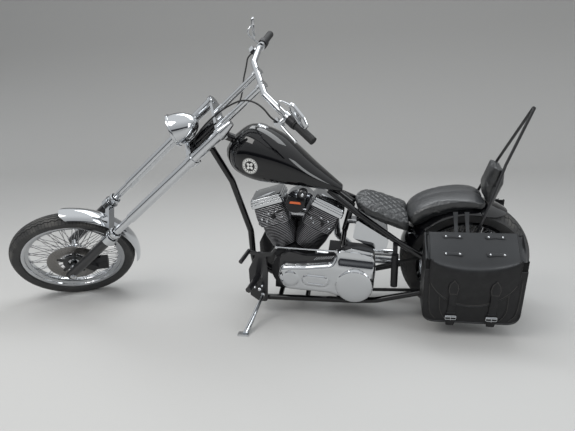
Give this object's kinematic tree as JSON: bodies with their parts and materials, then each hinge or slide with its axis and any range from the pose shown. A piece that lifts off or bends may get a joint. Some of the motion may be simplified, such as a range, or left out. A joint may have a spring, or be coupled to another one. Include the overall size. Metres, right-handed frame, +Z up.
{
  "type": "chopper motorcycle",
  "caption": "Long-fork custom motorcycle with V-twin engine, wire wheels, tall bars, sissy bar and leather saddlebags, leaning on its side stand.",
  "frame": {"origin": "middle of the bounding box on the ground", "axes": "+X rearward along the motorcycle, +Y to its right, +Z up"},
  "size_m": [2.8608, 0.8782, 1.5791],
  "materials": {
    "alloy": "brushed",
    "black_metal": "satin",
    "black_paint": "gloss",
    "chrome": "mirror",
    "glass": "clear",
    "leather": "grained",
    "red_glass": "clear",
    "rubber": "matt",
    "steel": "brushed",
    "tyre": "matt"
  },
  "bodies": {
    "frame": {"air_cleaner": "chrome", "backrest_pad": "leather", "cam_cover": "chrome", "carburettor": "alloy", "crankcase": "alloy", "cylinder_front": "black_metal", "cylinder_rear": "black_metal", "drive_belt": "rubber", "exhaust_pipes": "chrome", "foot_controls": "black_metal", "frame": "black_paint", "fuel_cap": "chrome", "fuel_tank": "black_paint", "gearbox": "black_metal", "gearbox_pulley": "alloy", "horn_cover": "black_metal", "inner_primary": "black_metal", "number_plate": "black_metal", "oil_filter": "black_metal", "oil_tank": "chrome", "pillion_pad": "leather", "primary_cover": "chrome", "pushrod_tubes": "chrome", "rear_axle": "chrome", "rear_caliper": "black_metal", "rear_fender": "black_paint", "rider_seat": "leather", "rocker_boxes": "chrome", "saddlebag_left": "leather", "saddlebag_right": "leather", "saddlebag_yokes": "leather", "shift_rod": "chrome", "sissy_bar": "black_metal", "tail_lamp": "red_glass"},
    "fork": {"brake_hose": "rubber", "clutch_cable": "rubber", "fork_sliders": "black_metal", "fork_tubes": "chrome", "front_axle": "chrome", "front_caliper": "black_metal", "front_fender": "chrome", "grips": "rubber", "hand_levers": "chrome", "handlebar": "chrome", "headlight": "chrome", "headlight_lens": "glass", "lower_tree": "chrome", "mirrors": "chrome", "switch_housings": "black_metal", "top_tree": "chrome"},
    "front_wheel": {"front_brake_disc": "steel", "front_tyre": "tyre", "front_wheel": "chrome"},
    "rear_wheel": {"rear_brake_disc": "steel", "rear_pulley": "alloy", "rear_tyre": "tyre", "rear_wheel": "chrome"},
    "side_stand": {"side_stand": "steel"},
    "lid_left": {"saddlebag_lid_left": "leather"},
    "lid_right": {"saddlebag_lid_right": "leather"}
  },
  "joints": [
    {"name": "steering", "type": "hinge", "parent": "frame", "child": "fork", "pos_m": [-0.10698, -0.09268, 1.06283], "axis": [0.7723, -0.1429, 0.619], "range_deg": [-63, 0]},
    {"name": "front_wheel_spin", "type": "hinge", "parent": "fork", "child": "front_wheel", "pos_m": [-1.10191, 0.07172, 0.29039], "axis": [-0.3319, 0.74, 0.585], "continuous": true},
    {"name": "rear_wheel_spin", "type": "hinge", "parent": "frame", "child": "rear_wheel", "pos_m": [1.10844, 0.07938, 0.31759], "axis": [0, 0.9744, 0.225], "continuous": true},
    {"name": "side_stand_fold", "type": "hinge", "parent": "frame", "child": "side_stand", "pos_m": [0.06125, -0.04681, 0.12623], "axis": [0.017, -0.4651, 0.8851], "range_deg": [0, 96.4]},
    {"name": "lid_left_hinge", "type": "hinge", "parent": "frame", "child": "lid_left", "pos_m": [1.11177, -0.16686, 0.5173], "axis": [-0.9999, -0.003, 0.013], "range_deg": [0, 110]},
    {"name": "lid_right_hinge", "type": "hinge", "parent": "frame", "child": "lid_right", "pos_m": [1.11177, 0.21315, 0.60503], "axis": [0.9999, 0.003, -0.013], "range_deg": [0, 110]}
  ]
}
